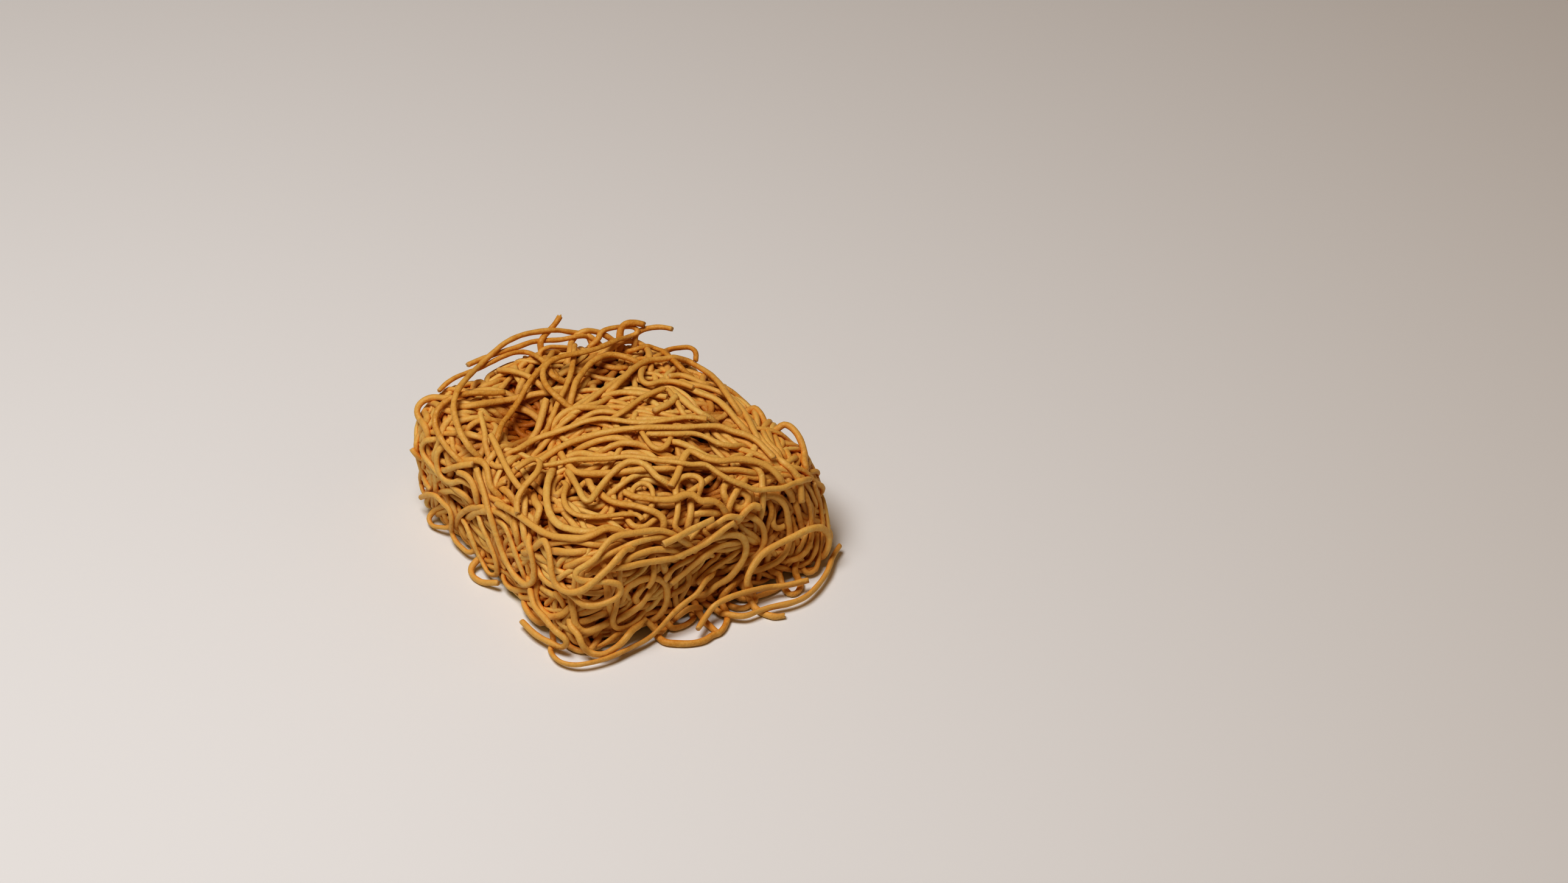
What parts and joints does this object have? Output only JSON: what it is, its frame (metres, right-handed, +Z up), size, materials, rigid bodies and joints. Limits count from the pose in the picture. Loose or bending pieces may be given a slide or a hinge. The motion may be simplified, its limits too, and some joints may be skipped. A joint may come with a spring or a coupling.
{
  "type": "block of dried noodles",
  "caption": "Matted, rounded block of fine wavy dried wheat noodles with a flat underside, loose arcs at the back and foot.",
  "frame": {"origin": "middle of the block's outline seen from above, loose arcs included, at the height of its flat underside", "axes": "+Z up from the flat underside, +X along the front side, +Y from the front, with the spread foot, to the back, with the standing arcs"},
  "size_m": [0.0998, 0.1086, 0.0437],
  "materials": {
    "dried_noodle": "matte"
  },
  "bodies": {
    "root": {"noodle_block": "dried_noodle"}
  },
  "joints": []
}
